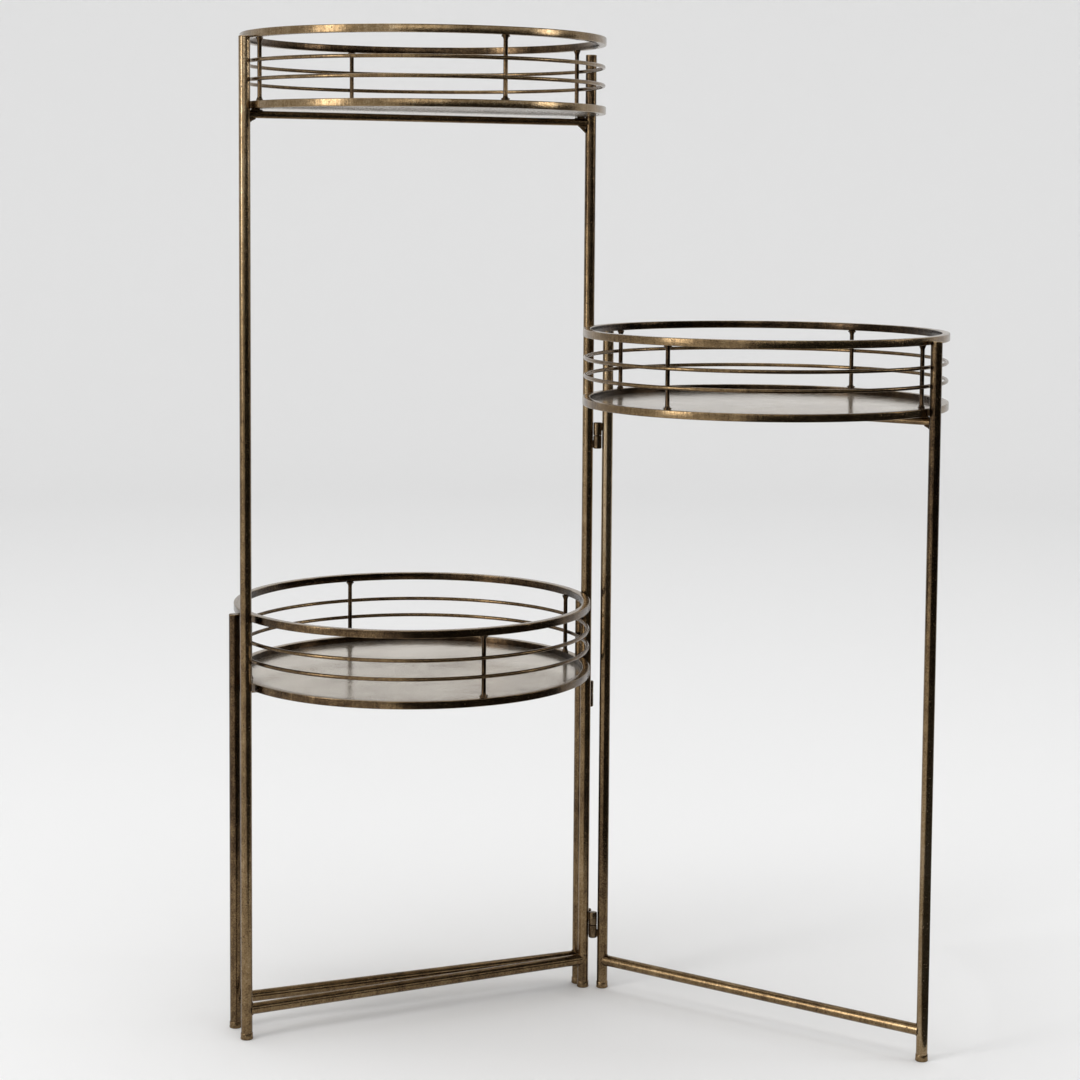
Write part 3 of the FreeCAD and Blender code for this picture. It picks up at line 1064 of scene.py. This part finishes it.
@dataclass
class Hinges:
    """The four barrel hinges: two knuckles each on a pin, one knuckle welded to each neighbouring post."""

    brass: bpy.types.Material
    weld: bpy.types.Material
    radius: float = 3.65 * MM
    edge: float = 0.9 * MM            # rounding of a knuckle's closed end
    mouth_edge: float = 0.35 * MM     # bevel of its open end
    web: float = 1.75 * MM
    web_out: float = 0.15 * MM        # from the outside of a knuckle out to the weld bead's middle
    web_start: float = 0.5 * MM       # from a knuckle's closed end down to the bead's end
    web_share: float = 0.6            # of a knuckle's height that the bead runs along
    web_rows: int = 14
    steps: int = 40
    hinges: tuple[BarrelHinge, ...] = (
        BarrelHinge("middle_upper_hinge", "middle", True), BarrelHinge("middle_lower_hinge", "middle", False),
        BarrelHinge("low_upper_hinge", "low", True), BarrelHinge("low_lower_hinge", "low", False),
    )

    def build(self) -> None:
        """Build the knuckles and dress the pins."""
        for hinge in self.hinges:
            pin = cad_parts[f"{hinge.name}_pin"]
            pin.data.materials.clear()
            pin.data.materials.append(self.brass)
            log.info("dressed %s", pin.name)
            for part, upper in (("upper_knuckle", True), ("lower_knuckle", False)):
                key = hinge.swinging if upper == hinge.upper_swings else "tall"
                self.knuckle(hinge.name, part, upper, Stance(key))

    def knuckle(self, hinge: str, part: str, upper: bool, stance: Stance) -> None:
        """Build one knuckle and the weld metal that ties it to its post.

        Args:
            hinge: The hinge's name.
            part: The knuckle's name within the hinge.
            upper: Whether it is the upper one, whose closed end is its top.
            stance: The frame that it is welded to.
        """
        low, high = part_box(f"{hinge}_pin")
        axis = Vector(((low.x + high.x) / 2, (low.y + high.y) / 2, 0.0))
        bottom, top = (corner.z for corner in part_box(f"{hinge}_{part}"))
        closed, mouth = (top, bottom) if upper else (bottom, top)
        way = 1.0 if upper else -1.0
        barrel = self.barrel(axis, mouth, closed, way).as_object(f"{hinge}_{part}_piece")
        fit_piece(barrel, self.brass, Slot.HINGE_STEEL, stance.body, f"{hinge}_{part}")
        towards = (stance.middle_of("hinge_post") - axis).normalized()
        touch = axis + towards * (self.radius + self.web_out)
        web = self.bead(touch, closed, way, (top - bottom) * self.web_share)
        fit_piece(web.as_object(f"{hinge}_{part}_weld_piece"), self.weld, Slot.HINGE_STEEL, stance.body)

    def barrel(self, axis: Vector, mouth: float, closed: float, way: float) -> MeshForm:
        """Shape a knuckle's barrel.

        Args:
            axis: The hinge's axis, on the floor.
            mouth: Level of its open end.
            closed: Level of its closed end.
            way: 1 where the closed end is the top and -1 where it is the bottom.

        Returns:
            The mesh.
        """
        bevel = self.mouth_edge
        profile = [(0.0, mouth), (self.radius - bevel, mouth), (self.radius, mouth + way * bevel)]
        for turn in (math.radians(angle) for angle in (0, 30, 60, 90)):
            out = self.radius - self.edge * (1.0 - math.cos(turn))
            profile.append((out, closed - way * self.edge * (1.0 - math.sin(turn))))
        profile.append((0.0, closed))
        form = MeshForm()
        wear = [0.3, 0.7, 0.8] + [0.7] * 4 + [0.4]
        form.turn(profile, Matrix.Translation(axis), self.steps, wear=wear)
        return form

    def bead(self, touch: Vector, closed: float, way: float, run: float) -> MeshForm:
        """Shape the weld bead between a knuckle and its post.

        Args:
            touch: Where the bead's middle line meets the floor.
            closed: Level of the knuckle's closed end.
            way: 1 where the closed end is the top and -1 where it is the bottom.
            run: Length of the bead.

        Returns:
            The mesh.
        """
        path, radii = [], []
        for t in shares(self.web_rows):
            path.append(touch + UP * (closed - way * (self.web_start + run * t)))
            lump = noise.noise(Vector((t * 5.0, touch.x * 300.0, closed * 90.0)))
            radii.append(self.web * (1.0 + 0.22 * lump) * math.sqrt(max(1.0 - t ** 3, 0.0)))
        radii[0] = radii[-1] = 0.03 * MM
        form = MeshForm()
        form.sweep(path, radii, 14)
        return form


# ---- studio --------------------------------------------------------------------------------------


@dataclass(frozen=True)
class Lamp:
    """A rectangular area lamp that faces the stand."""

    name: str
    bearing: float                    # degrees to the right of the camera's heading, seen from the stand
    lift: float                       # degrees above the horizon
    distance: float                   # metres from the stand
    size: tuple[float, float]         # width and height in metres
    power: float                      # watts


@dataclass(frozen=True)
class Studio:
    """Camera, soft lamps, a pale floor that curves up into a backdrop, and dark cloths for reflections."""

    heading: float = 26.796
    pitch: float = 4.808
    roll: float = 0.501
    eye: tuple[float, float, float] = (-0.9623, -1.8702, 0.7021)
    focal_pixels: float = 2412.8
    axis_pixels: tuple[float, float] = (570.0, 400.0)
    image_pixels: float = 1080.0
    sensor: float = 36.0
    pale: Colour = (0.84, 0.84, 0.84)
    floor_radius: float = 3.6
    wall_bend: float = 1.5
    wall_top: float = 3.4
    cloth_start: float = 0.36         # from the stand's origin to the cloth on the floor
    cloth_reach: float = 3.7          # to the upright and the overhead cloths
    cloth_height: float = 1.1
    cloth_lift: float = 2.0 * MM      # above the floor
    world_light: float = 0.66         # strength of the even light from all round
    world_seen: float = 0.72          # strength that the camera and mirrored rays meet, where 1 is white
    lamp_aim: float = 0.4             # level that the lamps face
    lamps: tuple[Lamp, ...] = (
        Lamp("key", -124.0, 16.0, 3.2, (0.8, 1.9), 29.0),
        Lamp("side", 97.0, 14.5, 2.8, (0.4, 0.6), 7.0),
        Lamp("front", 182.0, 14.5, 3.2, (1.8, 0.5), 5.5),
        Lamp("top", 180.0, 86.0, 4.4, (4.5, 4.5), 88.0),
    )

    def directions(self) -> tuple[Vector, Vector]:
        """Give the level directions to the camera's right and ahead of it."""
        turn = math.radians(self.heading)
        return Vector((math.cos(turn), -math.sin(turn), 0.0)), Vector((math.sin(turn), math.cos(turn), 0.0))

    def towards(self, bearing: float) -> Vector:
        """Give the level direction at a bearing in degrees to the right of the camera's heading."""
        level, ahead = self.directions()
        turn = math.radians(bearing)
        return ahead * math.cos(turn) + level * math.sin(turn)

    def camera(self) -> None:
        """Set the camera at the photograph's viewing angle."""
        level, ahead = self.directions()
        pitch, roll = math.radians(self.pitch), math.radians(self.roll)
        look = ahead * math.cos(pitch) - UP * math.sin(pitch)
        upright = UP * math.cos(pitch) + ahead * math.sin(pitch)
        right = level * math.cos(roll) + upright * math.sin(roll)
        above = upright * math.cos(roll) - level * math.sin(roll)
        data = bpy.data.cameras.new("camera")
        data.sensor_width = self.sensor
        data.lens = self.sensor * self.focal_pixels / self.image_pixels
        data.shift_x = 0.5 - self.axis_pixels[0] / self.image_pixels
        data.shift_y = self.axis_pixels[1] / self.image_pixels - 0.5
        data.clip_end = 50.0
        camera = bpy.data.objects.new("camera", data)
        turn = Matrix((right, above, -look)).transposed().to_4x4()
        camera.matrix_world = Matrix.Translation(Vector(self.eye)) @ turn
        bpy.context.scene.collection.objects.link(camera)
        bpy.context.scene.camera = camera

    def backdrop(self) -> None:
        """Lay the round floor and curve it up into a wall all round the stand."""
        flat, bend = self.floor_radius, self.wall_bend
        profile = [(0.0, 0.0), (flat * 0.5, 0.0), (flat, 0.0)]
        profile += [
            (flat + bend * math.sin(turn), bend - bend * math.cos(turn))
            for turn in (math.radians(angle) for angle in range(5, 91, 5))
        ]
        profile.append((flat + bend, self.wall_top))
        form = MeshForm()
        form.turn(profile, Matrix.Identity(4), 180)
        sweep = form.as_object("studio_sweep", 60.0)
        recipe = Recipe("pale_paper")
        recipe.set(Base_Color=self.pale, Roughness=0.85)
        sweep.data.materials.append(recipe.material)

    def dark_cloth(self) -> None:
        """Hang dark cloths to the right of the set and in front of it, which only mirrored rays meet.

        One lies on the floor and then stands up, and one hangs overhead.
        """
        near, reach, lift = self.cloth_start, self.cloth_reach, UP * self.cloth_lift
        ways = [self.towards(bearing) for bearing in range(70, 191, 10)]
        rises = [math.radians(angle) for angle in range(36, 77, 8)]
        low = [[way * near + lift, way * reach + lift, way * reach + UP * self.cloth_height] for way in ways]
        high = [[(way * math.cos(rise) + UP * math.sin(rise)) * reach for rise in rises] for way in ways]
        form = MeshForm()
        for rows in (low, high):
            form.add_rows(rows, [0.0] * len(rows[0]), False, False)
        cloth = form.as_object("studio_cloth")
        recipe = Recipe("dark_cloth")
        recipe.set(Base_Color=(0.03, 0.03, 0.03), Roughness=1.0)
        cloth.data.materials.append(recipe.material)
        cloth.visible_camera = False
        cloth.visible_shadow = False
        cloth.visible_diffuse = False

    def hang(self, lamp: Lamp) -> None:
        """Hang a lamp, hidden from the camera.

        Args:
            lamp: The lamp.
        """
        rise = math.radians(lamp.lift)
        away = self.towards(lamp.bearing) * math.cos(rise) + UP * math.sin(rise)
        data = bpy.data.lights.new(lamp.name, "AREA")
        data.shape = "RECTANGLE"
        data.size, data.size_y = lamp.size
        data.energy = lamp.power
        hung = bpy.data.objects.new(lamp.name, data)
        facing = (-away).to_track_quat("-Z", "Y").to_matrix().to_4x4()
        hung.matrix_world = Matrix.Translation(away * lamp.distance + UP * self.lamp_aim) @ facing
        hung.visible_camera = False
        bpy.context.scene.collection.objects.link(hung)

    def world(self) -> None:
        """Set the even light from all round."""
        world = bpy.data.worlds.new("studio")
        world.use_nodes = True
        nodes = Nodes(world.node_tree)
        camera, glossy, clear = (
            nodes.node("ShaderNodeLightPath", {}, {}, f"Is {kind} Ray")
            for kind in ("Camera", "Glossy", "Transmission")
        )
        strength = (camera.larger(glossy).larger(clear) * self.world_seen).larger(self.world_light)
        background = nodes.tree.nodes["Background"]
        nodes.tree.links.new(strength.socket, background.inputs["Strength"])
        background.inputs["Color"].default_value = (1.0, 1.0, 1.0, 1.0)
        bpy.context.scene.world = world

    def build(self) -> None:
        """Set up the whole studio."""
        self.camera()
        self.backdrop()
        self.dark_cloth()
        self.world()
        for lamp in self.lamps:
            self.hang(lamp)
        bpy.context.scene.view_settings.view_transform = "Standard"


def main() -> None:
    """Build the studio and the stand, piece by piece."""
    logging.basicConfig(level=logging.INFO, format="%(message)s")
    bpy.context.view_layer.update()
    Studio().build()
    brass = AgedBrass("aged_brass").build()
    weld = WeldScale("weld_scale").build()
    hinge = AgedBrass("hinge_brass", shift=-0.1).build()
    for look in LOOKS:
        stance = Stance(look.key)
        pieces = Tubing(stance, look, brass, weld).build() + Tray(stance, look, brass, weld).build()
        log.info("%s frame: %d pieces", look.key, len(pieces))
    Hinges(hinge, weld).build()


if __name__ == "__main__":
    main()
